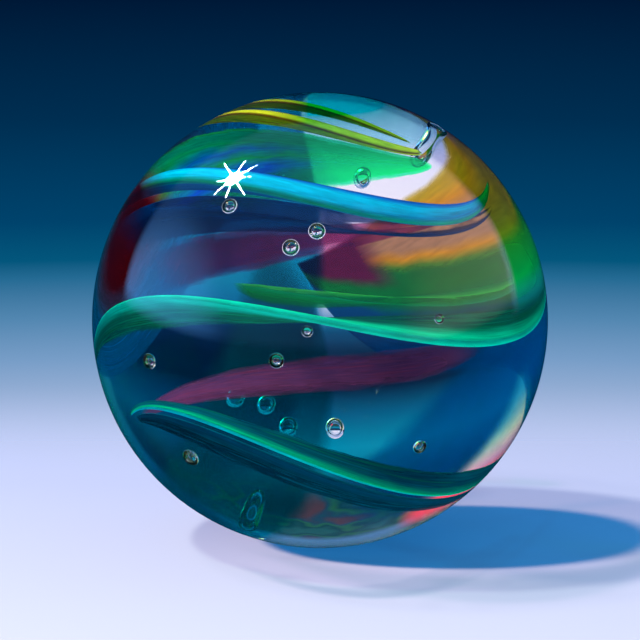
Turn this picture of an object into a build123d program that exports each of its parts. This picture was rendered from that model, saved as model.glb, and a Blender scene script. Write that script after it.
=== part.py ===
from build123d import *
import os
from dataclasses import dataclass
from math import asinh, cos, degrees, pi, radians, sin, sqrt

# A clear glass ball with coloured glass ribbons twisted into a swirl inside it, in millimetres.
# The origin is the ball's centre, +Z is up, and the side to look at faces -Y.
# Angles are in degrees.

# The ball
ball_diameter = 25.0
casing = 1.2                # least clear glass over the swirl, at the ball's middle
seam = 0.2                  # clear glass between two ribbons that follow each other inwards

ball_radius = ball_diameter / 2
swirl_radius = ball_radius - casing

# The swirl's axis slants up to the right. The swirl's own frame has z along that axis,
# x level and towards the viewer, and its middle at the ball's centre.
axis_rise = 32.0            # how far the axis climbs from level
axis_turn = 9.0             # how far its right end turns away from the viewer

# Each section across the axis is the same picture, smaller towards the ends as the ball closes in
# and turned by the twist, so every ribbon crosses the meridians of the axis at a steady angle.
stations = 11               # sections that shape a ribbon along its length
end_blunt = 2.5             # how square a ribbon's ends are, where 2 is a plain ellipse
end_reach = 0.985           # share of a ribbon's half length at which its last section lies
bevel = 0.29                # share of a ribbon's thickness that its edges lose on each side


@dataclass
class Ribbon:
    """A flat vane of coloured glass, from its rim under the skin inwards to its root."""

    start: float            # angle round the axis at the ball's middle, from level, downwards
    skin: float             # clear glass over the rim, at the ball's middle
    width: float            # from rim to root
    rim: float              # thickness at the rim
    root: float             # thickness at the root
    tail: float             # where it begins along the axis, as a share of the swirl's radius
    tip: float              # where it ends along the axis, as a share of the same
    pitch: float = 1.0      # turn round the axis for each degree of stretched latitude
    bow: float = 0.0        # further turn, for each hundred square degrees of the same
    lean: float = 0.0       # tip of the vane from standing on end, rim held
    swell: float = 0.0      # share that the thickness gains from its middle to its tip


# Widths that set where the next ribbon inwards begins
lime_width = 2.3
cyan_width = 1.8
navy_width = 2.5

ribbons = {
    "lime_ribbon": Ribbon(
        start=-120, pitch=2.15, bow=-1.75, skin=casing,
        width=lime_width, rim=1.1, root=0.5, swell=0.3, tail=-0.11, tip=0.78,
    ),
    "olive_ribbon": Ribbon(
        start=-133, pitch=1.85, bow=-1.0, skin=casing,
        width=2.3, rim=0.9, root=0.4, tail=-0.05, tip=0.76,
    ),
    "sea_green_ribbon": Ribbon(
        start=-116, pitch=2.0, bow=-1.6, skin=casing + lime_width + 1.5 * seam,
        width=4.2, rim=0.4, root=0.25, tail=-0.32, tip=0.74,
    ),
    "cyan_ribbon": Ribbon(
        start=-67, pitch=1.35, bow=-1.0, skin=casing,
        width=cyan_width, rim=1.8, root=1.2, swell=0.3, tail=-0.78, tip=0.965,
    ),
    "navy_ribbon": Ribbon(
        start=-61, pitch=1.35, bow=-1.0, skin=casing + cyan_width + seam,
        width=navy_width, rim=1.5, root=0.8, tail=-0.81, tip=0.90,
    ),
    "magenta_ribbon": Ribbon(
        start=-61, pitch=1.25, bow=-1.0, skin=casing + cyan_width + navy_width + 2 * seam,
        width=2.6, rim=0.5, root=0.4, tail=-0.60, tip=0.75,
    ),
    "mint_ribbon": Ribbon(
        start=-16.5, skin=casing,
        width=4.3, rim=0.55, root=0.3, swell=0.8, tail=-0.94, tip=0.94,
    ),
    "emerald_ribbon": Ribbon(
        start=-26.5, bow=-0.3, skin=casing + 0.14 * swirl_radius,
        width=3.6, rim=0.5, root=0.3, lean=-8, swell=0.5, tail=-0.23, tip=0.94,
    ),
    "teal_ribbon": Ribbon(
        start=52, pitch=1.7, bow=0.85, skin=casing,
        width=2.4, rim=0.6, root=0.3, lean=40, tail=-0.94, tip=0.48,
    ),
    "dark_teal_ribbon": Ribbon(
        start=55, pitch=1.7, bow=0.85, skin=casing,
        width=3.0, rim=0.5, root=0.3, lean=-60, tail=-0.92, tip=0.26,
    ),
    "maroon_ribbon": Ribbon(
        start=30, pitch=1.7, bow=1.2, skin=casing + 0.59 * swirl_radius,
        width=1.8, rim=0.5, root=0.4, lean=40, tail=-0.82, tip=0.40,
    ),
    "blue_ribbon": Ribbon(
        start=98, skin=casing + 0.035 * swirl_radius,
        width=6.0, rim=0.6, root=0.4, tail=-0.87, tip=0.87,
    ),
    "red_ribbon": Ribbon(
        start=-158, skin=casing + 0.02 * swirl_radius,
        width=4.0, rim=0.7, root=0.4, tail=-0.50, tip=0.26,
    ),
    "indigo_ribbon": Ribbon(
        start=196, skin=casing + 0.09 * swirl_radius,
        width=6.0, rim=0.4, root=0.4, lean=70, tail=-0.40, tip=0.22,
    ),
    "turquoise_ribbon": Ribbon(
        start=186, skin=casing + 0.32 * swirl_radius,
        width=6.0, rim=0.4, root=0.4, lean=62, tail=-0.87, tip=0.04,
    ),
    "amber_ribbon": Ribbon(
        start=171, pitch=0, skin=casing,
        width=4.6, rim=0.4, root=0.4, lean=70, tail=0.02, tip=0.60,
    ),
}


@dataclass
class Bubble:
    """A round air bubble, placed in the swirl's frame."""

    along: float            # distance along the axis from the middle, as a share of the swirl's radius
    around: float           # angle round the axis
    depth: float            # clear glass over its centre
    diameter: float


bubbles = [
    Bubble(along=-0.06, around=-57, depth=1.4, diameter=0.8),
    Bubble(along=0.065, around=-37, depth=1.7, diameter=0.85),
    Bubble(along=0.20, around=-37, depth=1.5, diameter=0.85),
    Bubble(along=-0.075, around=-16, depth=0.7, diameter=0.6),
    Bubble(along=-0.26, around=-14, depth=0.9, diameter=0.8),
    Bubble(along=-0.72, around=-40, depth=1.6, diameter=0.8),
    Bubble(along=-0.79, around=5, depth=1.8, diameter=0.9),
    Bubble(along=0.45, around=1, depth=0.65, diameter=0.55),
    Bubble(along=0.06, around=33, depth=2.4, diameter=0.7),
    Bubble(along=-0.262, around=160, depth=3.7, diameter=0.5),
    Bubble(along=-0.212, around=156, depth=3.7, diameter=0.5),
    Bubble(along=-0.195, around=151, depth=3.5, diameter=0.5),
    Bubble(along=-0.106, around=147, depth=3.4, diameter=0.5),
    Bubble(along=0.265, around=-178, depth=4.0, diameter=0.5),
    Bubble(along=0.388, around=179, depth=3.6, diameter=0.5),
    Bubble(along=-0.32, around=145, depth=3.0, diameter=0.45),
]


def swirl_frame():
    """The swirl's own frame, z along its axis and x level."""
    rise = radians(axis_rise)
    turn = radians(axis_turn)
    axis = Vector(cos(rise) * cos(turn), cos(rise) * sin(turn), sin(rise))
    level = Vector(sin(turn), -cos(turn), 0)
    return Plane(origin=(0, 0, 0), x_dir=level, z_dir=axis)


def narrowing(height):
    """Size of the swirl's section at this height along the axis, as a share of the middle one."""
    return sqrt(1 - (height / swirl_radius) ** 2)


def stretched_latitude(height):
    """Latitude on the swirl's ball, stretched so that a steady spiral is a straight line in it."""
    return degrees(asinh(height / (swirl_radius * narrowing(height))))


def vane_section(place, width, rim, root):
    """A flat tapered bar with bevelled edges. Its rim touches the place's origin and its body
    lies towards -x."""
    one_side = [
        (0, (0.5 - bevel) * rim),
        (-bevel * rim, 0.5 * rim),
        (-width + bevel * root, 0.5 * root),
        (-width, (0.5 - bevel) * root),
    ]
    other_side = [(x, -y) for x, y in reversed(one_side)]
    with BuildSketch(place) as section:
        with BuildLine():
            Polyline(*one_side, *other_side, close=True)
        make_face()
    return section.sketch.face()


def ribbon_solid(size):
    """One ribbon in the swirl's frame, lofted along the axis through its turning sections."""
    middle = swirl_radius * (size.tail + size.tip) / 2
    half_length = swirl_radius * (size.tip - size.tail) / 2
    sections = []
    for station in range(stations):
        along = -end_reach * cos(pi * station / (stations - 1))
        height = middle + along * half_length
        fade = (1 - abs(along) ** end_blunt) ** (1 / end_blunt)
        scale = fade * narrowing(height)
        thickness = scale * (1 + size.swell * along)
        latitude = stretched_latitude(height)
        angle = radians(size.start + size.pitch * latitude + size.bow * latitude**2 / 100)
        outwards = angle + radians(size.lean)
        distance = (ball_radius - size.skin) * narrowing(height)
        place = Plane(
            origin=(distance * cos(angle), distance * sin(angle), height),
            x_dir=(cos(outwards), sin(outwards), 0),
            z_dir=(0, 0, 1),
        )
        sections.append(
            vane_section(place, size.width * scale, size.rim * thickness, size.root * thickness)
        )
    return loft(sections)


def bubble_void(size):
    """One air bubble in the swirl's frame."""
    from_centre = ball_radius - size.depth
    along = size.along * swirl_radius
    from_axis = sqrt(from_centre**2 - along**2)
    around = radians(size.around)
    centre = Location((from_axis * cos(around), from_axis * sin(around), along))
    return centre * Sphere(size.diameter / 2)


swirl = swirl_frame().location
coloured = {name: swirl * ribbon_solid(size) for name, size in ribbons.items()}
voids = [swirl * bubble_void(size) for size in bubbles]
clear_glass = Sphere(ball_radius) - list(coloured.values()) - voids

os.makedirs("parts", exist_ok=True)
for name, solid in coloured.items():
    export_step(solid, f"parts/{name}.step")
export_step(clear_glass, "parts/clear_glass.step")
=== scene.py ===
import math
from dataclasses import dataclass

import bpy
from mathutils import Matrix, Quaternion, Vector


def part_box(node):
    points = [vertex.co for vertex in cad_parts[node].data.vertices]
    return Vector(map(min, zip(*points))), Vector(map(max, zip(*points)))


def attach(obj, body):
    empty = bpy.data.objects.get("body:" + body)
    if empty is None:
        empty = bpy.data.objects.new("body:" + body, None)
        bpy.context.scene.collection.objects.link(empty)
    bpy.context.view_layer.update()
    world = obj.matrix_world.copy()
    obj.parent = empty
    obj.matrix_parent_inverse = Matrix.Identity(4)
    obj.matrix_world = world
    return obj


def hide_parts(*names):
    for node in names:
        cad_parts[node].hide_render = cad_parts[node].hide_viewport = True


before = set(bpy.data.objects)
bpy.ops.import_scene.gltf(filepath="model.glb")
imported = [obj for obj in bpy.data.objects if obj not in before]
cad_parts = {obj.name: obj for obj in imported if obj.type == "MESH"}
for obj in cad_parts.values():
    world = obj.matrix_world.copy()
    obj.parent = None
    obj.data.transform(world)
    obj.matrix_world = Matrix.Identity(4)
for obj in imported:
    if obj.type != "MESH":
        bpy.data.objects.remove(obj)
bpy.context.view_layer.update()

# A clear glass marble with a swirl of coloured ribbons, in metres, in the frame of the CAD model:
# the origin is the ball's centre, +Z is up and the side to look at faces -Y.
# Sizes of the swirl are in millimetres and degrees, as in the part's source.
MM = 0.001
ball_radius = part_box("clear_glass")[1][2] / MM

# The swirl
casing = 1.2                # least clear glass over the swirl, at the ball's middle
seam = 0.2                  # clear glass between two ribbons that follow each other inwards
axis_rise = 32.0            # how far the swirl's axis climbs from level
axis_turn = 9.0             # how far its right end turns away from the viewer
end_blunt = 2.5             # how square a ribbon's ends are
end_reach = 0.985           # share of a ribbon's half length at which its last section lies
swirl_radius = ball_radius - casing

# Fineness of the meshes
stations = 161              # sections along a ribbon
edge_steps = 8              # faces round a ribbon's rim, and round its root
side_steps = 16             # faces across each of its sides
edge_round = 0.35           # share of a ribbon's thickness over which an edge rounds off
ball_fineness = 7           # subdivisions of the ball
bubble_fineness = 5         # subdivisions of a bubble


@dataclass
class Ribbon:
    """A flat vane of coloured glass, from its rim under the skin inwards to its root."""

    start: float            # angle round the axis at the ball's middle, from level, downwards
    skin: float             # clear glass over the rim, at the ball's middle
    width: float            # from rim to root
    rim: float              # thickness at the rim
    root: float             # thickness at the root
    tail: float             # where it begins along the axis, as a share of the swirl's radius
    tip: float              # where it ends along the axis, as a share of the same
    pitch: float = 1.0      # turn round the axis for each degree of stretched latitude
    bow: float = 0.0        # further turn, for each hundred square degrees of the same
    lean: float = 0.0       # tip of the vane from standing on end, rim held
    swell: float = 0.0      # share that the thickness gains from its middle to its tip


# Widths that set where the next ribbon inwards begins
lime_width = 2.3
cyan_width = 1.8
navy_width = 2.5

RIBBONS = {
    "lime_ribbon": Ribbon(
        start=-120, pitch=2.15, bow=-1.75, skin=casing,
        width=lime_width, rim=1.1, root=0.5, swell=0.3, tail=-0.11, tip=0.78,
    ),
    "olive_ribbon": Ribbon(
        start=-133, pitch=1.85, bow=-1.0, skin=casing,
        width=2.3, rim=0.9, root=0.4, tail=-0.05, tip=0.76,
    ),
    "sea_green_ribbon": Ribbon(
        start=-116, pitch=2.0, bow=-1.6, skin=casing + lime_width + 1.5 * seam,
        width=4.2, rim=0.4, root=0.25, tail=-0.32, tip=0.74,
    ),
    "cyan_ribbon": Ribbon(
        start=-67, pitch=1.35, bow=-1.0, skin=casing,
        width=cyan_width, rim=1.8, root=1.2, swell=0.3, tail=-0.78, tip=0.965,
    ),
    "navy_ribbon": Ribbon(
        start=-61, pitch=1.35, bow=-1.0, skin=casing + cyan_width + seam,
        width=navy_width, rim=1.5, root=0.8, tail=-0.81, tip=0.90,
    ),
    "magenta_ribbon": Ribbon(
        start=-61, pitch=1.25, bow=-1.0, skin=casing + cyan_width + navy_width + 2 * seam,
        width=2.6, rim=0.5, root=0.4, tail=-0.60, tip=0.75,
    ),
    "mint_ribbon": Ribbon(
        start=-16.5, skin=casing,
        width=4.3, rim=0.55, root=0.3, swell=0.8, tail=-0.94, tip=0.94,
    ),
    "emerald_ribbon": Ribbon(
        start=-26.5, bow=-0.3, skin=casing + 0.14 * swirl_radius,
        width=3.6, rim=0.5, root=0.3, lean=-8, swell=0.5, tail=-0.23, tip=0.94,
    ),
    "teal_ribbon": Ribbon(
        start=52, pitch=1.7, bow=0.85, skin=casing,
        width=2.4, rim=0.6, root=0.3, lean=40, tail=-0.94, tip=0.48,
    ),
    "dark_teal_ribbon": Ribbon(
        start=55, pitch=1.7, bow=0.85, skin=casing,
        width=3.0, rim=0.5, root=0.3, lean=-60, tail=-0.92, tip=0.26,
    ),
    "maroon_ribbon": Ribbon(
        start=30, pitch=1.7, bow=1.2, skin=casing + 0.59 * swirl_radius,
        width=1.8, rim=0.5, root=0.4, lean=40, tail=-0.82, tip=0.40,
    ),
    "blue_ribbon": Ribbon(
        start=98, skin=casing + 0.035 * swirl_radius,
        width=6.0, rim=0.6, root=0.4, tail=-0.87, tip=0.87,
    ),
    "red_ribbon": Ribbon(
        start=-158, skin=casing + 0.02 * swirl_radius,
        width=4.0, rim=0.7, root=0.4, tail=-0.50, tip=0.26,
    ),
    "indigo_ribbon": Ribbon(
        start=196, skin=casing + 0.09 * swirl_radius,
        width=6.0, rim=0.4, root=0.4, lean=70, tail=-0.40, tip=0.22,
    ),
    "turquoise_ribbon": Ribbon(
        start=186, skin=casing + 0.32 * swirl_radius,
        width=6.0, rim=0.4, root=0.4, lean=62, tail=-0.87, tip=0.04,
    ),
    "amber_ribbon": Ribbon(
        start=171, pitch=0, skin=casing,
        width=4.6, rim=0.4, root=0.4, lean=70, tail=0.02, tip=0.60,
    ),
}


@dataclass
class Bubble:
    """A round air bubble, placed in the swirl's frame."""

    along: float            # distance along the axis from the middle, as a share of the swirl's radius
    around: float           # angle round the axis
    depth: float            # clear glass over its centre
    diameter: float


BUBBLES = [
    Bubble(along=-0.06, around=-57, depth=1.4, diameter=0.8),
    Bubble(along=0.065, around=-37, depth=1.7, diameter=0.85),
    Bubble(along=0.20, around=-37, depth=1.5, diameter=0.85),
    Bubble(along=-0.075, around=-16, depth=0.7, diameter=0.6),
    Bubble(along=-0.26, around=-14, depth=0.9, diameter=0.8),
    Bubble(along=-0.72, around=-40, depth=1.6, diameter=0.8),
    Bubble(along=-0.79, around=5, depth=1.8, diameter=0.9),
    Bubble(along=0.45, around=1, depth=0.65, diameter=0.55),
    Bubble(along=0.06, around=33, depth=2.4, diameter=0.7),
    Bubble(along=-0.262, around=160, depth=3.7, diameter=0.5),
    Bubble(along=-0.212, around=156, depth=3.7, diameter=0.5),
    Bubble(along=-0.195, around=151, depth=3.5, diameter=0.5),
    Bubble(along=-0.106, around=147, depth=3.4, diameter=0.5),
    Bubble(along=0.265, around=-178, depth=4.0, diameter=0.5),
    Bubble(along=0.388, around=179, depth=3.6, diameter=0.5),
    Bubble(along=-0.32, around=145, depth=3.0, diameter=0.45),
]


@dataclass
class Look:
    """Colours of a ribbon's glass, each from 0 to 1 as light. A stop is a place and its colour."""

    crest: tuple            # middle of the rim
    upper: tuple            # rim on the upper side, with painted light: on most ribbons lighter than the lower side
    lower: tuple            # rim on the lower side, with painted shade: on most ribbons darker than the upper side
    vane: tuple             # stops from the rim inwards, from 0 to 1
    tint: tuple             # stops inwards of the colour that light takes on when it passes through
    cover: tuple = (0.9, 0.6)   # how milky the glass is at the rim and at the root
    reach: float = 0.42     # share of the width over which the rim's colours give way to the vane's
    fade: float = 0.04      # share of the width and length over which the pigment thins out
    bare: float = 0.0       # share of the width without pigment, at the rim
    begins: tuple = None    # places along the ribbon between which its pigment sets in
    wander: float = 0.17    # how far the colours stray across the ribbon
    slant: float = 0.0      # how much nearer the rim the colours run towards its tip
    bands: tuple = ()       # colours of wide streaks
    lengthwise: tuple = ()  # stops along the ribbon, from -1 to 1, each with its colour's share
    lengthwise_reach: float = 2.0   # how far in from the rim they colour it


LOOKS = {
    "lime_ribbon": Look(
        crest=(0.80, 0.78, 0.02), upper=(0.75, 0.50, 0.02), lower=(0.22, 0.06, 0.0),
        vane=((0.42, (0.40, 0.55, 0.0)), (1.0, (0.05, 0.30, 0.0))),
        tint=((0.0, (0.4, 0.8, 0.05)), (1.0, (0.1, 0.7, 0.1))), cover=(0.97, 0.85),
        bands=((0.35, 0.55, 0.0), (0.08, 0.20, 0.0), (0.60, 0.60, 0.0), (0.22, 0.08, 0.0)),
    ),
    "olive_ribbon": Look(
        crest=(0.65, 0.65, 0.01), upper=(0.70, 0.50, 0.01), lower=(0.20, 0.05, 0.0),
        vane=((0.42, (0.30, 0.45, 0.0)), (1.0, (0.04, 0.20, 0.0))),
        tint=((0.0, (0.4, 0.7, 0.05)), (1.0, (0.1, 0.5, 0.1))), cover=(0.97, 0.85),
        bands=((0.30, 0.40, 0.0), (0.10, 0.12, 0.0), (0.45, 0.45, 0.0)),
    ),
    "sea_green_ribbon": Look(
        crest=(0.01, 0.42, 0.05), upper=(0.02, 0.50, 0.04), lower=(0.0, 0.36, 0.20),
        vane=(
            (0.10, (0.0, 0.20, 0.30)), (0.22, (0.0, 0.50, 0.01)), (0.34, (0.0, 0.10, 0.70)),
            (0.46, (0.0, 0.55, 0.05)), (0.60, (0.0, 0.10, 0.80)), (0.75, (0.0, 0.28, 0.10)),
            (1.0, (0.0, 0.35, 0.30)),
        ),
        tint=((0.0, (0.05, 0.75, 0.35)), (1.0, (0.05, 0.65, 0.5))), cover=(0.75, 0.45),
        fade=0.08, begins=(-0.80, -0.62), wander=0.10,
        lengthwise=(
            (-0.15, (0.02, 0.34, 0.16, 0.0)), (0.25, (0.02, 0.34, 0.16, 0.9)),
            (1.0, (0.02, 0.36, 0.14, 0.9)),
        ),
    ),
    "cyan_ribbon": Look(
        crest=(0.0, 0.58, 0.72), upper=(0.0, 0.12, 0.55), lower=(0.0, 0.45, 0.12),
        vane=((0.42, (0.0, 0.08, 0.22)), (1.0, (0.0, 0.04, 0.14))),
        tint=((0.0, (0.02, 0.3, 0.6)), (1.0, (0.01, 0.2, 0.5))), cover=(0.97, 0.9),
        lengthwise=((-0.50, (0.05, 0.0, 0.0, 1.0)), (-0.36, (0.02, 0.03, 0.03, 0.0))),
    ),
    "navy_ribbon": Look(
        crest=(0.0, 0.03, 0.12), upper=(0.0, 0.03, 0.12), lower=(0.0, 0.03, 0.11),
        vane=((0.42, (0.0, 0.02, 0.09)), (1.0, (0.01, 0.01, 0.05))),
        tint=((0.0, (0.01, 0.06, 0.22)), (1.0, (0.03, 0.04, 0.18))), cover=(0.8, 0.5),
        fade=0.1, begins=(-0.6, -0.4),
    ),
    "magenta_ribbon": Look(
        crest=(0.10, 0.01, 0.06), upper=(0.10, 0.01, 0.06), lower=(0.10, 0.01, 0.06),
        vane=((0.42, (0.16, 0.015, 0.07)), (1.0, (0.15, 0.02, 0.08))),
        tint=((0.0, (0.45, 0.06, 0.20)), (1.0, (0.45, 0.06, 0.20))), cover=(0.5, 0.3),
        fade=0.15, begins=(-0.75, -0.5),
        bands=((0.16, 0.015, 0.07), (0.06, 0.01, 0.10), (0.20, 0.01, 0.06)),
    ),
    "mint_ribbon": Look(
        crest=(0.0, 0.60, 0.38), upper=(0.0, 0.62, 0.28), lower=(0.0, 0.45, 0.36),
        vane=((0.45, (0.0, 0.22, 0.11)), (1.0, (0.0, 0.06, 0.05))),
        tint=((0.0, (0.01, 0.4, 0.22)), (1.0, (0.01, 0.35, 0.25))), cover=(0.97, 0.6),
        reach=0.45, bands=((0.0, 0.22, 0.11), (0.0, 0.08, 0.07), (0.0, 0.16, 0.06)),
    ),
    "emerald_ribbon": Look(
        crest=(0.02, 0.36, 0.08), upper=(0.04, 0.40, 0.06), lower=(0.0, 0.22, 0.10),
        vane=((0.42, (0.0, 0.20, 0.05)), (1.0, (0.0, 0.12, 0.04))),
        tint=((0.0, (0.03, 0.5, 0.12)), (1.0, (0.03, 0.5, 0.12))), cover=(0.8, 0.5),
        fade=0.1,
    ),
    "teal_ribbon": Look(
        crest=(0.0, 0.50, 0.50), upper=(0.0, 0.55, 0.20), lower=(0.0, 0.22, 0.60),
        vane=((0.42, (0.0, 0.16, 0.17)), (1.0, (0.0, 0.06, 0.08))),
        tint=((0.0, (0.02, 0.4, 0.4)), (1.0, (0.02, 0.4, 0.4))), cover=(0.97, 0.7),
        bands=((0.0, 0.16, 0.17), (0.0, 0.06, 0.10), (0.0, 0.20, 0.10)),
    ),
    "dark_teal_ribbon": Look(
        crest=(0.0, 0.12, 0.16), upper=(0.0, 0.14, 0.18), lower=(0.0, 0.06, 0.12),
        vane=((0.42, (0.0, 0.06, 0.09)), (1.0, (0.0, 0.02, 0.04))),
        tint=((0.0, (0.01, 0.15, 0.20)), (1.0, (0.01, 0.15, 0.20))), cover=(0.85, 0.6),
        bands=((0.0, 0.06, 0.09), (0.0, 0.02, 0.05), (0.0, 0.10, 0.14)),
    ),
    "maroon_ribbon": Look(
        crest=(0.16, 0.04, 0.10), upper=(0.16, 0.04, 0.10), lower=(0.14, 0.04, 0.10),
        vane=((0.42, (0.20, 0.05, 0.14)), (1.0, (0.15, 0.05, 0.14))),
        tint=((0.0, (0.40, 0.08, 0.18)), (1.0, (0.40, 0.08, 0.18))), cover=(0.75, 0.6),
        fade=0.25, bands=((0.18, 0.05, 0.12), (0.09, 0.04, 0.13), (0.22, 0.04, 0.10)),
    ),
    "blue_ribbon": Look(
        crest=(0.0, 0.12, 0.38), upper=(0.0, 0.14, 0.36), lower=(0.0, 0.10, 0.40),
        vane=((0.42, (0.0, 0.10, 0.34)), (1.0, (0.0, 0.12, 0.28))),
        tint=((0.0, (0.02, 0.45, 0.75)), (1.0, (0.02, 0.50, 0.70))), cover=(0.5, 0.2),
        fade=0.12, bare=0.50, begins=(-0.40, -0.05), wander=0.05,
    ),
    "red_ribbon": Look(
        crest=(0.05, 0.0, 0.0), upper=(0.05, 0.0, 0.0), lower=(0.05, 0.0, 0.0),
        vane=(
            (0.30, (0.16, 0.01, 0.012)), (0.42, (0.045, 0.0, 0.0)), (0.56, (0.045, 0.0, 0.0)),
            (0.68, (0.0, 0.07, 0.16)),
        ),
        tint=((0.30, (0.40, 0.02, 0.02)), (0.56, (0.10, 0.0, 0.0)), (0.68, (0.0, 0.30, 0.55))),
        cover=(0.8, 0.6), fade=0.06, wander=0.05,
        lengthwise=(
            (-0.76, (0.0, 0.07, 0.16, 1.0)), (-0.70, (0.20, 0.02, 0.02, 1.0)),
            (-0.62, (0.26, 0.11, 0.02, 1.0)), (-0.56, (0.06, 0.0, 0.0, 0.0)),
            (-0.15, (0.06, 0.0, 0.0, 0.0)), (-0.02, (0.45, 0.02, 0.03, 1.0)),
            (0.12, (0.30, 0.01, 0.02, 0.0)),
        ),
        lengthwise_reach=0.52,
    ),
    "indigo_ribbon": Look(
        crest=(0.0, 0.05, 0.16), upper=(0.0, 0.05, 0.16), lower=(0.0, 0.05, 0.16),
        vane=((0.42, (0.0, 0.05, 0.12)), (1.0, (0.01, 0.04, 0.11))),
        tint=((0.0, (0.02, 0.34, 0.50)), (1.0, (0.0, 0.26, 0.42))), cover=(0.15, 0.1),
        fade=0.12, wander=0.04,
    ),
    "turquoise_ribbon": Look(
        crest=(0.0, 0.14, 0.16), upper=(0.0, 0.14, 0.16), lower=(0.0, 0.14, 0.16),
        vane=((0.42, (0.0, 0.12, 0.15)), (1.0, (0.0, 0.09, 0.13))),
        tint=((0.0, (0.0, 0.40, 0.42)), (1.0, (0.0, 0.40, 0.42))), cover=(0.15, 0.1),
        fade=0.15, wander=0.05,
    ),
    "amber_ribbon": Look(
        crest=(0.60, 0.35, 0.0), upper=(0.60, 0.35, 0.0), lower=(0.60, 0.35, 0.0),
        vane=(
            (0.12, (0.70, 0.38, 0.0)), (0.17, (0.85, 0.32, 0.0)), (0.23, (0.42, 0.20, 0.11)),
            (0.38, (0.42, 0.20, 0.10)), (0.43, (0.75, 0.28, 0.0)), (0.48, (0.10, 0.22, 0.02)),
            (0.52, (0.0, 0.13, 0.03)), (0.72, (0.0, 0.18, 0.03)), (0.82, (0.0, 0.05, 0.14)),
        ),
        tint=(
            (0.12, (0.80, 0.55, 0.05)), (0.17, (0.85, 0.40, 0.02)), (0.23, (0.75, 0.40, 0.24)),
            (0.38, (0.75, 0.38, 0.20)), (0.43, (0.85, 0.40, 0.05)), (0.49, (0.05, 0.30, 0.04)),
            (0.72, (0.01, 0.35, 0.05)), (0.82, (0.0, 0.2, 0.4)),
        ),
        cover=(0.6, 0.5), reach=0.12, fade=0.04, bare=0.05, wander=0.03, slant=0.35,
        lengthwise=(
            (-0.58, (0.10, 0.01, 0.05, 1.0)), (-0.42, (0.10, 0.02, 0.05, 0.0)),
            (0.16, (0.005, 0.18, 0.01, 0.0)), (0.30, (0.005, 0.18, 0.01, 0.9)),
        ),
        lengthwise_reach=0.54,
    ),
}

# The swirl's own frame: z along its axis, x level and towards the viewer
rise = math.radians(axis_rise)
turn = math.radians(axis_turn)
SWIRL_Z = Vector((math.cos(rise) * math.cos(turn), math.cos(rise) * math.sin(turn), math.sin(rise)))
SWIRL_X = Vector((math.sin(turn), -math.cos(turn), 0))
SWIRL_Y = SWIRL_Z.cross(SWIRL_X)


def in_swirl(x, y, z):
    """A point of the swirl's frame, in millimetres, as a place in the scene."""
    return (SWIRL_X * x + SWIRL_Y * y + SWIRL_Z * z) * MM


# Forms

# What a ribbon's mesh keeps for each point, from 0 to 1, from -1 to 1 and from -1 to 1
POINT_VALUES = ("depth", "side", "along")


def narrowing(height):
    """Size of the swirl's section at this height along the axis, as a share of the middle one."""
    return math.sqrt(1 - (height / swirl_radius) ** 2)


def stretched_latitude(height):
    """Latitude on the swirl's ball, stretched so that a steady spiral is a straight line in it."""
    return math.degrees(math.asinh(height / (swirl_radius * narrowing(height))))


def vane_section(width, rim, root):
    """Points round a flat tapered bar with rounded edges, rim at the origin and body towards -x.

    Each point has its x, its y, its depth into the vane as a share of the width, and its side
    from -1 to 1.
    """
    rim_round = edge_round * rim
    root_round = edge_round * root
    points = []

    def edge(centre, deep, half, first):
        for step in range(edge_steps):
            angle = first - math.pi * step / edge_steps
            points.append((centre + deep * math.cos(angle), half * math.sin(angle), math.sin(angle)))

    def side(start, end, side_value):
        for step in range(side_steps):
            share = step / side_steps
            points.append(tuple(a + (b - a) * share for a, b in zip(start, end)) + (side_value,))

    rim_corner = (-rim_round, rim / 2)
    root_corner = (-width + root_round, root / 2)
    edge(-rim_round, rim_round, rim / 2, math.pi / 2)
    side((rim_corner[0], -rim_corner[1]), (root_corner[0], -root_corner[1]), -1)
    edge(-width + root_round, root_round, root / 2, -math.pi / 2)
    side(root_corner, rim_corner, 1)
    return [(x, y, -x / width, beside) for x, y, beside in points]


def mesh_object(name, vertices, faces):
    """A smooth mesh object in the scene."""
    mesh = bpy.data.meshes.new(name)
    mesh.from_pydata([tuple(v) for v in vertices], [], faces)
    mesh.polygons.foreach_set("use_smooth", [True] * len(mesh.polygons))
    piece = bpy.data.objects.new(name, mesh)
    bpy.context.scene.collection.objects.link(piece)
    return piece


def ribbon_points(size):
    """The points of a ribbon, section by section, and each point's depth, side and place along it."""
    middle = swirl_radius * (size.tail + size.tip) / 2
    half_length = swirl_radius * (size.tip - size.tail) / 2
    lean = math.radians(size.lean)
    vertices = []
    values = []
    for station in range(stations):
        along = -end_reach * math.cos(math.pi * station / (stations - 1))
        height = middle + along * half_length
        fade = (1 - abs(along) ** end_blunt) ** (1 / end_blunt)
        scale = fade * narrowing(height)
        thickness = scale * (1 + size.swell * along)
        latitude = stretched_latitude(height)
        angle = math.radians(size.start + size.pitch * latitude + size.bow * latitude**2 / 100)
        distance = (ball_radius - size.skin) * narrowing(height)
        section = vane_section(size.width * scale, size.rim * thickness, size.root * thickness)
        for x, y, depth, beside in section:
            outwards = distance + x * math.cos(lean) - y * math.sin(lean)
            sideways = x * math.sin(lean) + y * math.cos(lean)
            vertices.append(in_swirl(
                outwards * math.cos(angle) - sideways * math.sin(angle),
                outwards * math.sin(angle) + sideways * math.cos(angle),
                height,
            ))
            values.append((depth, beside, along))
    return vertices, values


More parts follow.
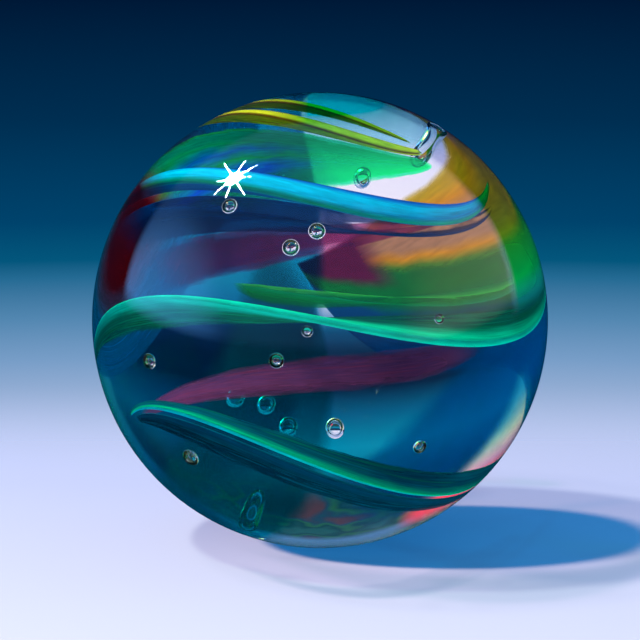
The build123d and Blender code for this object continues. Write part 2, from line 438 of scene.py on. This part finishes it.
def ribbon_mesh(name, size):
    """A ribbon lofted through its turning sections, with its ends closed by fans."""
    vertices, values = ribbon_points(size)
    count = len(vertices) // stations
    faces = []
    for station in range(stations - 1):
        here = station * count
        ahead = here + count
        for point in range(count):
            beside = (point + 1) % count
            faces.append((here + beside, ahead + beside, ahead + point, here + point))
    for first in (0, (stations - 1) * count):
        ring = range(first, first + count)
        vertices.append(sum((vertices[i] for i in ring), Vector()) / count)
        values.append((0.5, 0.0, values[first][2]))
        centre = len(vertices) - 1
        for point in range(count):
            beside = first + (point + 1) % count
            corners = (centre, first + point, beside)
            faces.append(corners[::-1] if first == 0 else corners)
    piece = mesh_object(name, vertices, faces)
    for slot, attribute in enumerate(POINT_VALUES):
        layer = piece.data.attributes.new(attribute, "FLOAT", "POINT")
        layer.data.foreach_set("value", [value[slot] for value in values])
    return piece


def sphere_mesh(fineness, radius, centre, flipped=False):
    """Vertices and faces of a fine round ball, with its faces turned inwards if flipped."""
    bpy.ops.mesh.primitive_ico_sphere_add(subdivisions=fineness, radius=radius)
    made = bpy.context.object
    vertices = [v.co + centre for v in made.data.vertices]
    faces = [tuple(p.vertices) for p in made.data.polygons]
    if flipped:
        faces = [face[::-1] for face in faces]
    mesh = made.data
    bpy.data.objects.remove(made)
    bpy.data.meshes.remove(mesh)
    return vertices, faces


def bubble_centre(size):
    """Where a bubble lies in the scene."""
    from_centre = ball_radius - size.depth
    along = size.along * swirl_radius
    from_axis = math.sqrt(from_centre**2 - along**2)
    around = math.radians(size.around)
    return in_swirl(from_axis * math.cos(around), from_axis * math.sin(around), along)


def ball_mesh():
    """The clear ball with its air bubbles as voids: faces with slot 1 are the bubbles' walls."""
    vertices, faces = sphere_mesh(ball_fineness, ball_radius * MM, Vector())
    skin_faces = len(faces)
    for size in BUBBLES:
        more, walls = sphere_mesh(bubble_fineness, size.diameter / 2 * MM, bubble_centre(size), True)
        first = len(vertices)
        vertices += more
        faces += [tuple(first + i for i in face) for face in walls]
    piece = mesh_object("marble_glass", vertices, faces)
    piece.data.polygons.foreach_set("material_index", [int(i >= skin_faces) for i in range(len(faces))])
    return piece


# Nodes

class Graph:
    """The nodes of a material or of the world. A source is a socket, a number or a colour."""

    def __init__(self, tree):
        tree.nodes.clear()
        self.nodes = tree.nodes
        self.links = tree.links

    def node(self, kind, **settings):
        """A new node of this kind with these settings."""
        made = self.nodes.new("ShaderNode" + kind)
        for name, value in settings.items():
            setattr(made, name, value)
        return made

    def feed(self, socket, source):
        """Links the socket to the source, or sets it where the source is a number or a colour."""
        if isinstance(source, bpy.types.NodeSocket):
            self.links.new(source, socket)
        elif isinstance(source, tuple):
            socket.default_value = (*source, 1)
        else:
            socket.default_value = source

    def fed(self, kind, *sources, **settings):
        """The first output of a new node whose inputs are fed in order."""
        made = self.node(kind, **settings)
        for socket, source in zip(made.inputs, sources):
            self.feed(socket, source)
        return made.outputs[0]

    def calculated(self, operation, *sources, clamp=False):
        return self.fed("Math", *sources, operation=operation, use_clamp=clamp)

    def product(self, first, *others):
        """The product of two or more numbers."""
        for other in others:
            first = self.calculated("MULTIPLY", first, other)
        return first

    def ranged(self, value, low, high, to_low=0.0, to_high=1.0, kind="LINEAR"):
        """The value moved from one range into another, and held inside it."""
        return self.fed("MapRange", value, low, high, to_low, to_high, interpolation_type=kind)

    def step(self, value, start, end, full=1.0):
        """A share that goes softly from 0 at the start to full at the end, whichever is higher."""
        return self.ranged(value, start, end, 0.0, full, "SMOOTHSTEP")

    def mixed(self, share, first, second):
        """A colour between the first and the second. The node has sockets for numbers and vectors
        before those for colours."""
        made = self.node("Mix", data_type="RGBA")
        for number, source in ((0, share), (6, first), (7, second)):
            self.feed(made.inputs[number], source)
        return made.outputs[2]

    def ramp(self, value, stops):
        """A colour that runs through the stops, each a place and a colour, with or without a share."""
        made = self.node("ValToRGB")
        self.feed(made.inputs[0], value)
        elements = made.color_ramp.elements
        elements[0].position = stops[0][0]
        elements[1].position = stops[-1][0]
        for place, _ in stops[1:-1]:
            elements.new(place)
        for element, (_, colour) in zip(elements, stops):
            element.color = colour if len(colour) == 4 else (*colour, 1)
        return made.outputs[0]

    def scaled(self, vector, factor):
        """A vector or colour times a number."""
        made = self.node("VectorMath", operation="SCALE")
        self.feed(made.inputs[0], vector)
        self.feed(made.inputs["Scale"], factor)
        return made.outputs[0]

    def dot(self, vector, direction):
        """How far the vector reaches in this direction."""
        made = self.node("VectorMath", operation="DOT_PRODUCT")
        self.feed(made.inputs[0], vector)
        self.feed(made.inputs[1], direction)
        return made.outputs["Value"]

    def split(self, vector):
        """The x, y and z of a vector."""
        made = self.node("SeparateXYZ")
        self.feed(made.inputs[0], vector)
        return tuple(made.outputs)

    def noise(self, place, fineness, detail):
        made = self.node("TexNoise")
        self.feed(made.inputs["Vector"], place)
        self.feed(made.inputs["Scale"], fineness)
        self.feed(made.inputs["Detail"], detail)
        return made.outputs[0]

    def show(self, shader, output="OutputMaterial"):
        """Makes this shader the one that is seen."""
        self.feed(self.node(output).inputs["Surface"], shader)


def new_material(name):
    """An empty material and its graph."""
    material = bpy.data.materials.new(name)
    material.use_nodes = True
    return material, Graph(material.node_tree)


# Where the camera and the lamps stand
VIEW_RISE = math.radians(14.0)
VIEW_DISTANCE = 0.170
TO_CAMERA = Vector((0, -math.cos(VIEW_RISE), math.sin(VIEW_RISE)))
TO_HIGHLIGHT = Vector((-0.519, 0.19, 0.833)).normalized()
TO_SHADOW_LAMP = Vector((-0.52, -0.01, 0.853)).normalized()

# Clear glass
BENDING = 1.5               # its refractive index
CLEAR = (1.0, 1.0, 1.0)
PATCH_FINENESS = 2.25       # of the soft patches on the ball, for each radius
PATCH_DETAIL = 4.0
PATCHES = (0.55, 0.75)      # between these values of the noise the patches set in
PATCH_ROUGHNESS = 0.02
FILM_THICKNESS = 420.0      # of the film on a bubble's wall, in nanometres
FILM_BENDING = 1.33

# Colour fixed to the ball's glass: a painted glow of green, yellow and lilac along the right edge, where
# the camera sees the glass at a slant, and a teal tint that darkens towards the top. Heights go from 0
# at the bottom to 1 at the top, and all else is in radii from the ball's centre.
RIGHT_EDGE_GLOW = (
    (0.52, CLEAR), (0.58, (0.05, 0.75, 0.6)), (0.65, (0.0, 1.0, 0.12)),
    (0.75, (0.07, 0.60, 0.01)), (0.82, (0.13, 0.42, 0.0)), (0.90, (0.12, 0.26, 0.02)),
)
TOP_VEIL = ((0.89, CLEAR), (0.93, (0.15, 0.6, 0.75)), (0.98, (0.0, 0.25, 0.26)))
LILAC = (0.35, 0.36, 0.62)
EDGE_STARTS = (0.60, 0.53)  # reach towards the photograph's camera at which the ball's edge sets in
FRONT_STARTS = (-0.05, 0.05)
RIGHT_STARTS = (0.54, 0.60)
LILAC_STARTS = (0.38, 0.50)
LILAC_HEIGHTS = (0.80, 0.84)
MILKY_FROM = (0.57, 0.63)   # heights between which the right edge turns milky, so that its painted glow shows lit
MILKY_TO = (0.78, 0.70)     # and clear again
LEAST_CLEAR = 0.5           # share of clear glass left where it is milky
TOP_STARTS = (-0.30, -0.05)

# The ball's shadow: a dark blue core and a pale ring round it, as the light that is left there
CORE = (0.0, 0.14, 0.32)
CORE_ENDS = (0.29, 0.33)    # slants of the lamp's ray between which the core gives way to the ring
RING_IN_FRONT = (0.86, 0.80, 0.86)
RING_BEHIND = (0.62, 0.60, 0.66)
RING_TURNS = (-0.4, 0.4)    # Y between which the ring's first colour gives way to its second
UNSHADED = (0.98, 0.98, 0.98)
NARROWER = 0.778            # narrows the shadow from front to back, and 0 leaves it round
SHADOW_EDGE = (0.0, 0.03)   # how softly its outline ends
FAR_SIDE = (0.97, 0.97, 0.97)       # of the light that is left, at the ray's way out of the ball
BUBBLE_SHADE = (0.95, 0.95, 0.95)


def polished_glass(graph):
    """The shader node of smooth clear glass."""
    glass = graph.node("BsdfPrincipled")
    graph.feed(glass.inputs["Base Color"], CLEAR)
    graph.feed(glass.inputs["Roughness"], 0.0)
    graph.feed(glass.inputs["IOR"], BENDING)
    graph.feed(glass.inputs["Transmission Weight"], 1.0)
    return glass


def lets_lamps_through(graph, shader, shade):
    """Shows the shader, but is clear in this shade for the rays that look for lamps."""
    path = graph.node("LightPath").outputs
    lamp_ray = graph.calculated("MAXIMUM", path["Is Shadow Ray"], path["Is Diffuse Ray"])
    clear = graph.fed("BsdfTransparent", shade)
    graph.show(graph.fed("MixShader", lamp_ray, shader, clear))


def bubble_wall():
    """The wall of an air bubble, with a thin film that lends it a little colour."""
    material, graph = new_material("bubble_wall")
    glass = polished_glass(graph)
    graph.feed(glass.inputs["Thin Film Thickness"], FILM_THICKNESS)
    graph.feed(glass.inputs["Thin Film IOR"], FILM_BENDING)
    lets_lamps_through(graph, glass.outputs[0], BUBBLE_SHADE)
    return material


def ball_painted_edge(graph, place):
    """Painted edge glow and top tint of the ball's glass, and how milky it is. Both are fixed to the
    ball.
    """
    x, _, z = graph.split(place)
    height = graph.ranged(z, -1, 1)
    towards = graph.dot(place, TO_CAMERA)
    at_edge = graph.product(graph.step(towards, *EDGE_STARTS), graph.step(towards, *FRONT_STARTS))
    at_right_glow = graph.product(graph.step(x, *RIGHT_STARTS), at_edge)
    lilac = graph.product(graph.step(x, *LILAC_STARTS), graph.step(height, *LILAC_HEIGHTS), at_edge)
    # A painted glow of lilac, green and yellow along the right edge, where the camera sees it at a slant
    painted_tint = graph.mixed(lilac, CLEAR, LILAC)
    painted_tint = graph.mixed(at_right_glow, painted_tint, graph.ramp(height, RIGHT_EDGE_GLOW))
    top = graph.fed("VectorMath", painted_tint, graph.ramp(height, TOP_VEIL), operation="MULTIPLY")
    painted_tint = graph.mixed(graph.step(x, *TOP_STARTS), painted_tint, top)
    # The edge turns milky where the painted glow is, so that the glow shows lit
    milky = graph.product(at_right_glow, graph.step(height, *MILKY_FROM), graph.step(height, *MILKY_TO))
    return painted_tint, milky


def ball_shade(graph, place):
    """What the ball leaves of a lamp's light. The slant is that of the lamp's ray on the glass:
    0 in the middle of the shadow and 1 at its edge."""
    _, y, _ = graph.split(place)
    weight = graph.node("LayerWeight")
    graph.feed(weight.inputs["Blend"], 0.5)
    slant = weight.outputs["Facing"]
    front_to_back = graph.calculated("POWER", y, 2)
    past_core = graph.step(graph.calculated("ADD", slant, front_to_back), *CORE_ENDS)
    ring = graph.mixed(graph.ranged(y, *RING_TURNS), RING_IN_FRONT, RING_BEHIND)
    near_side = graph.mixed(past_core, CORE, ring)
    inside = graph.calculated("POWER", graph.calculated("SUBTRACT", 1.0, slant), 2)
    inside = graph.calculated("SUBTRACT", inside, graph.product(front_to_back, NARROWER))
    near_side = graph.mixed(graph.step(inside, *SHADOW_EDGE), UNSHADED, near_side)
    on_far_side = graph.node("NewGeometry").outputs["Backfacing"]
    return graph.mixed(on_far_side, near_side, FAR_SIDE)


def marble_glass():
    """The ball's glass, a little less smooth in soft patches where it was handled."""
    material, graph = new_material("marble_clear_glass")
    place = graph.scaled(graph.node("TexCoord").outputs["Object"], 1 / (ball_radius * MM))
    glass = polished_glass(graph)
    patches = graph.noise(place, PATCH_FINENESS, PATCH_DETAIL)
    graph.feed(glass.inputs["Roughness"], graph.ranged(patches, *PATCHES, 0.0, PATCH_ROUGHNESS))
    # The base colour holds the painted glow along the right edge and the tint at the top
    painted_tint, milky = ball_painted_edge(graph, place)
    graph.feed(glass.inputs["Base Color"], painted_tint)
    clear_share = graph.ranged(milky, 0.0, 1.0, 1.0, LEAST_CLEAR)
    graph.feed(glass.inputs["Transmission Weight"], clear_share)
    lets_lamps_through(graph, glass.outputs[0], ball_shade(graph, place))
    return material


# Coloured glass
LAMP_STOP = 0.06            # share of its cover with which a ribbon stops a lamp's light
WANDERING = (7.0, 0.8)      # fineness of a noise, and how fast it changes along, to 1 across
WIDE_STREAKS = (9.0, 0.3)
FINE_STREAKS = (34.0, 0.25)
STREAK_DETAIL = 3.0
BAND_SHARE = 0.75           # share of the vane's colour that its wide streaks give
BAND_FIRST = 0.38           # value of their noise at which the first band's colour lies
BAND_SPREAD = 0.24          # from there to the last band's
LINE_VALUES = (0.35, 0.65)  # values of the fine streaks' noise
LINE_SHADES = (0.78, 1.15)  # and how they darken and brighten the colour
RIM_ENDS = 0.08             # share of the width at which the rim's colours begin to give way
CLEARER = 5.0               # how much lighter the lengthwise colours are in light that passes through
LENGTHWISE_SOFTNESS = 0.08  # share of the width over which they end inwards
SHARP_FADE = 0.05           # a fade up to this leaves the rim's outline sharp


def one_face(tint):
    """The tint that each of a ribbon's two faces gives, so that both give the whole."""
    return tuple(math.sqrt(c) for c in tint)


def pigment_share(graph, look, inwards, along):
    """How much pigment there is: none where the ribbon is bare, and less towards its borders."""
    outer = 1.0
    if look.bare or look.fade > SHARP_FADE:
        outer = graph.step(inwards, look.bare, look.bare + look.fade)
    inner = graph.step(inwards, 1.0, 1 - look.fade)
    ends = graph.step(graph.calculated("ABSOLUTE", along), 1.0, 1 - look.fade)
    if look.begins:
        ends = graph.calculated("MINIMUM", ends, graph.step(along, *look.begins))
    return graph.product(outer, inner, ends)


def coloured_glass(name, look):
    """Glass with pigment that is thickest at the rim and drawn out into streaks along the ribbon."""
    material, graph = new_material(name)
    depth, side, along = (
        graph.node("Attribute", attribute_name=value).outputs["Fac"] for value in POINT_VALUES
    )

    def streaks(fineness, drawn_out):
        place = graph.fed("CombineXYZ", graph.product(along, drawn_out), depth)
        return graph.noise(place, fineness, STREAK_DETAIL)

    wander = graph.ranged(streaks(*WANDERING), 0.0, 1.0, -look.wander, look.wander)
    inwards = graph.calculated("ADD", depth, wander, clamp=True)
    across = inwards
    if look.slant:
        across = graph.calculated("SUBTRACT", inwards, graph.product(along, look.slant), clamp=True)

    # Across the rim from one face to the other. On most ribbons the upper face is painted lighter and
    # the lower face darker: painted light and shade.
    rim = graph.ramp(graph.ranged(side, -1, 1), (
        (0.06, look.upper), (0.28, look.crest), (0.72, look.crest), (0.94, look.lower),
    ))
    vane = graph.ramp(across, look.vane)
    if look.bands:
        gap = BAND_SPREAD / (len(look.bands) - 1)
        stops = [(BAND_FIRST + gap * i, colour) for i, colour in enumerate(look.bands)]
        vane = graph.mixed(BAND_SHARE, vane, graph.ramp(streaks(*WIDE_STREAKS), stops))
    colour = graph.mixed(graph.ranged(inwards, RIM_ENDS, look.reach), rim, vane)
    tint = graph.ramp(across, [(place, one_face(shade)) for place, shade in look.tint])
    if look.lengthwise:
        stops = [((place + 1) / 2, shade) for place, shade in look.lengthwise]
        stretch = graph.ramp(graph.ranged(along, -1, 1), stops)
        reach = look.lengthwise_reach
        near_rim = graph.ranged(across, reach + LENGTHWISE_SOFTNESS, reach)
        share = graph.product(stretch.node.outputs["Alpha"], near_rim)
        colour = graph.mixed(share, colour, stretch)
        tint = graph.mixed(share, tint, graph.scaled(stretch, CLEARER))
    colour = graph.scaled(colour, graph.ranged(streaks(*FINE_STREAKS), *LINE_VALUES, *LINE_SHADES))

    pigment = pigment_share(graph, look, inwards, along)
    cover = graph.product(graph.ranged(inwards, 0.0, 1.0, *look.cover), pigment)
    path = graph.node("LightPath").outputs
    glint = graph.calculated("MINIMUM", path["Glossy Depth"], path["Transmission Depth"], clamp=True)
    passing = graph.calculated("MAXIMUM", path["Is Shadow Ray"], glint)
    lamp_share = graph.ranged(passing, 0.0, 1.0, 1.0, LAMP_STOP)
    tint = graph.mixed(graph.product(pigment, lamp_share), CLEAR, tint)
    through = graph.fed("BsdfTransparent", tint)
    milky = graph.fed(
        "MixShader", 0.5, graph.fed("BsdfDiffuse", colour), graph.fed("BsdfTranslucent", colour)
    )
    graph.show(graph.fed("MixShader", graph.product(cover, lamp_share), through, milky))
    return material


# The studio. Heights are the Z of a direction seen from the ball, and sides are its X.
LEVEL = (-0.03, 0.06)       # heights between which the room below gives way to the room above
BACKDROP_ENDS = (0.48, 0.40)    # cosines from straight behind where the room takes over
BACKDROP_HEIGHTS = (math.sin(math.radians(-20.0)), math.sin(math.radians(-8.0)))
BACKDROP = (
    (0.0, (243, 236, 254)), (0.19, (211, 212, 243)), (0.315, (179, 194, 229)),
    (0.438, (119, 157, 199)), (0.5, (83, 135, 177)), (0.562, (37, 107, 148)),
    (0.59, (3, 86, 124)), (0.65, (0, 67, 108)), (0.81, (0, 46, 81)), (1.0, (0, 24, 54)),
)

# What rays through the ball meet above the backdrop
OVERHEAD_STARTS = (-0.14, -0.13)
OVERHEAD_HEIGHTS = (-0.14, 0.80)
OVERHEAD = (
    (0.0, (0, 24, 54)), (0.09, (0, 24, 54)), (0.17, (0, 90, 130)), (0.30, (0, 140, 175)),
    (0.45, (0, 95, 120)), (0.62, (10, 50, 62)), (1.0, (60, 70, 90)),
)
CLOUD_FINENESS = 5.0
CLOUD_DETAIL = 2.0
CLOUD_HEIGHTS = (0.25, 0.50)
CLOUD_SHARE = 0.8
CLOUDS = (
    (0.36, (0.01, 0.10, 0.10)), (0.44, (0.0, 0.04, 0.05)), (0.50, (0.02, 0.14, 0.05)),
    (0.56, (0.01, 0.05, 0.10)), (0.64, (0.09, 0.03, 0.04)),
)

# The room in front
WINDOW_SIDES = (-0.72, -0.97)
WINDOW = (0.5, 1.7, 4.2)
WALL_SIDES = (0.6, 0.95)
WALL = (0.9, 0.75, 0.75)
DIM_ROOM = (0.10, 0.25, 0.55)
DARK_BELOW = (0.02, 0.03, 0.05)
MIRRORED_HEIGHTS = (0.0, -0.20)     # heights between which the skin mirrors a dark table
MIRRORED_TABLE = (0.0, 0.03, 0.06)
FILL_BELOW = (0.05, 0.12, 0.24)     # what lights the table and the milky glass
FILL_ABOVE = (0.10, 0.42, 0.85)

# A bright panel on the left behind, which the ball's lower right edge shows
PANEL_HEIGHTS = (0.0, 0.80)
PANEL = (
    (0.0, (0.45, 0.75, 0.80)), (0.10, (0.80, 1.0, 0.95)), (0.40, (1.0, 1.0, 0.60)),
    (0.58, (0.80, 0.35, 0.55)), (0.70, (1.3, 0.05, 0.08)), (0.85, (1.3, 0.05, 0.08)),
    (1.0, (0.02, 0.10, 0.10)),
)
PANEL_STARTS = (0.66, 0.54)         # cosines from straight behind
PANEL_SIDES = (-0.30, -0.42)
PANEL_BOTTOM = (-0.25, -0.10)
PANEL_BACK = (0.0, 0.2)             # Y of the direction

# A coloured glow round the highlight's lamp, seen only in reflections inside the ball
GLOW_REACH = 0.8                    # angle over which its stops are spread, in radians
GLOW_FADES = (0.75, 0.60)           # angles between which it sets in
GLOW = (
    (0.20, (30.0, 30.0, 28.0)), (0.34, (9.0, 5.0, 1.0)), (0.55, (0.6, 2.5, 0.5)),
    (0.75, (0.1, 0.6, 1.6)),
)


def as_light(stops):
    """Stops whose colours are given in steps of 0 to 255, with the colours as light."""
    def light(step):
        level = step / 255
        return level / 12.92 if step < 10.5 else ((level + 0.055) / 1.055) ** 2.4

    return [(place, tuple(light(step) for step in colour)) for place, colour in stops]


def backdrop_colour(graph, direction, height, through):
    """The backdrop, deep blue above and pale below. Rays that have been through the ball meet
    dark teal with soft clouds of colour above it."""
    backdrop = graph.ramp(graph.ranged(height, *BACKDROP_HEIGHTS), as_light(BACKDROP))
    overhead = graph.ramp(graph.ranged(height, *OVERHEAD_HEIGHTS), as_light(OVERHEAD))
    clouds = graph.ramp(graph.noise(direction, CLOUD_FINENESS, CLOUD_DETAIL), CLOUDS)
    overhead = graph.mixed(graph.step(height, *CLOUD_HEIGHTS, CLOUD_SHARE), overhead, clouds)
    above_it = graph.product(graph.ranged(height, *OVERHEAD_STARTS), through)
    return graph.mixed(above_it, backdrop, overhead)


def room_colour(graph, side, above):
    """A dim room with a bright blue window on the left and a pale wall on the right."""
    room = graph.mixed(graph.step(side, *WINDOW_SIDES), DIM_ROOM, WINDOW)
    room = graph.mixed(graph.step(side, *WALL_SIDES), room, WALL)
    return graph.mixed(above, DARK_BELOW, room)


def studio_world():
    """The backdrop behind the ball, the room in front of it, and the lights that only the glass
    shows."""
    world = bpy.data.worlds.new("studio")
    bpy.context.scene.world = world
    world.use_nodes = True
    graph = Graph(world.node_tree)
    direction = graph.node("TexCoord").outputs["Generated"]
    side, back, height = graph.split(direction)
    behind = graph.dot(direction, -TO_CAMERA)
    above = graph.ranged(height, *LEVEL)
    path = graph.node("LightPath").outputs
    through = graph.calculated("GREATER_THAN", path["Transmission Depth"], 0.5)
    mirrored = graph.calculated("GREATER_THAN", path["Is Glossy Ray"], path["Transmission Depth"])
    inside = graph.calculated("MINIMUM", path["Glossy Depth"], path["Transmission Depth"], clamp=True)

    backdrop = backdrop_colour(graph, direction, height, through)
    room = room_colour(graph, side, above)
    seen = graph.mixed(graph.ranged(behind, *BACKDROP_ENDS), backdrop, room)
    table_share = graph.product(mirrored, graph.step(height, *MIRRORED_HEIGHTS))
    seen = graph.mixed(table_share, seen, MIRRORED_TABLE)

    panel = graph.ramp(graph.ranged(height, *PANEL_HEIGHTS), PANEL)
    panel_share = graph.product(
        graph.step(behind, *PANEL_STARTS), graph.step(back, *PANEL_BACK),
        graph.step(side, *PANEL_SIDES), graph.step(height, *PANEL_BOTTOM), through,
    )
    seen = graph.mixed(panel_share, seen, panel)

    off_lamp = graph.calculated("ARCCOSINE", graph.dot(direction, TO_HIGHLIGHT))
    glow = graph.ramp(graph.ranged(off_lamp, 0.0, GLOW_REACH), GLOW)
    seen = graph.mixed(graph.product(graph.step(off_lamp, *GLOW_FADES), inside), seen, glow)

    fill = graph.mixed(above, FILL_BELOW, FILL_ABOVE)
    light = graph.fed("Background", graph.mixed(path["Is Diffuse Ray"], seen, fill))
    graph.show(light, "OutputWorld")


# The table top, in metres. It fades into the backdrop along Y.
TABLE_RADIUS = 0.25
TABLE_CORNERS = 128
TABLE_TINTS = (0.010, -0.018)       # Y between which its far colour gives way to its near one
TABLE_FAR = (0.32, 0.31, 0.40)
TABLE_NEAR = (0.42, 0.385, 0.43)
TABLE_FADES = (0.004, 0.034)


def floor():
    """A round pale table top under the ball, which fades into the backdrop behind it."""
    bpy.ops.mesh.primitive_circle_add(
        vertices=TABLE_CORNERS, radius=TABLE_RADIUS, fill_type="NGON", location=(0, 0, -ball_radius * MM)
    )
    table = bpy.context.object
    table.name = "table_top"
    material, graph = new_material("table_top")
    _, y, _ = graph.split(graph.node("TexCoord").outputs["Object"])
    colour = graph.mixed(graph.ranged(y, *TABLE_TINTS), TABLE_FAR, TABLE_NEAR)
    paint = graph.fed("BsdfDiffuse", colour)
    gone = graph.fed("BsdfTransparent")
    graph.show(graph.fed("MixShader", graph.step(y, *TABLE_FADES), paint, gone))
    table.data.materials.append(material)
    table.visible_glossy = False


# Lamps, in metres, watts and degrees
LAMP_DISTANCE = 0.4
SHADOW_LAMP_SIZE = 0.03
SHADOW_LAMP_POWER = 3.4
HIGHLIGHT_SIZE = 0.045
HIGHLIGHT_POWER = 6.0
STAR_DISTANCE = 0.41
STAR_THICKNESS = 0.003
STAR_POWER = 5.0            # for each metre of a ray
STAR_RAYS = {25.0: 0.20, 75.0: 0.10, 120.0: 0.13, 165.0: 0.15}     # length of each by its angle


def lamp(name, towards, distance, power, size, thickness=None, angle=0.0):
    """A lamp that shines on the ball from this direction, round or, with a thickness, a thin ray."""
    light = bpy.data.lights.new(name, "AREA")
    light.shape = "ELLIPSE" if thickness else "DISK"
    light.size = size
    if thickness:
        light.size_y = thickness
    light.energy = power
    made = bpy.data.objects.new(name, light)
    bpy.context.scene.collection.objects.link(made)
    made.location = towards * distance
    made.rotation_mode = "QUATERNION"
    spin = Quaternion((0, 0, 1), math.radians(angle))
    made.rotation_quaternion = towards.to_track_quat("Z", "Y") @ spin
    made.visible_transmission = False
    return made


def lamps():
    """One lamp that casts the shadow, and one with thin rays across it that gives the highlight."""
    caster = lamp("sun", TO_SHADOW_LAMP, LAMP_DISTANCE, SHADOW_LAMP_POWER, SHADOW_LAMP_SIZE)
    caster.visible_glossy = False
    highlight = lamp("highlight", TO_HIGHLIGHT, LAMP_DISTANCE, HIGHLIGHT_POWER, HIGHLIGHT_SIZE)
    highlight.visible_diffuse = False
    for angle, length in STAR_RAYS.items():
        ray = lamp(
            "star_ray_%d" % angle, TO_HIGHLIGHT, STAR_DISTANCE, STAR_POWER * length,
            length, STAR_THICKNESS, angle,
        )
        ray.visible_diffuse = False


IMAGE_HALF = 320            # half the photograph's width, in pixels
BALL_HALF = 228             # half the ball's width in it, in pixels
SENSOR_WIDTH = 36           # in millimetres


def camera():
    """The camera, at the photograph's angle, with the ball as large in the frame as it is there."""
    lens = bpy.data.cameras.new("camera")
    made = bpy.data.objects.new("camera", lens)
    bpy.context.scene.collection.objects.link(made)
    made.location = TO_CAMERA * VIEW_DISTANCE
    made.rotation_mode = "QUATERNION"
    made.rotation_quaternion = (-TO_CAMERA).to_track_quat("-Z", "Y")
    ball_angle = math.asin(ball_radius * MM / VIEW_DISTANCE)
    lens.sensor_width = SENSOR_WIDTH
    lens.lens = SENSOR_WIDTH / 2 * BALL_HALF / IMAGE_HALF / math.tan(ball_angle)
    lens.clip_start = 0.001
    lens.clip_end = 10
    bpy.context.scene.camera = made


studio_world()
floor()
camera()
lamps()

ball = ball_mesh()
ball.data.materials.append(marble_glass())
ball.data.materials.append(bubble_wall())
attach(ball, "root")
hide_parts("clear_glass")

for node, size in RIBBONS.items():
    piece = ribbon_mesh("fine_" + node, size)
    slot = node.replace("_ribbon", "_glass")
    piece.data.materials.append(coloured_glass(slot, LOOKS[node]))
    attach(piece, "root")
    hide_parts(node)

# Light passes many faces of glass before it leaves the ball
passes = 32
studio = bpy.context.scene
studio.view_settings.view_transform = "Standard"
studio.cycles.max_bounces = passes
studio.cycles.transmission_bounces = passes
studio.cycles.transparent_max_bounces = passes
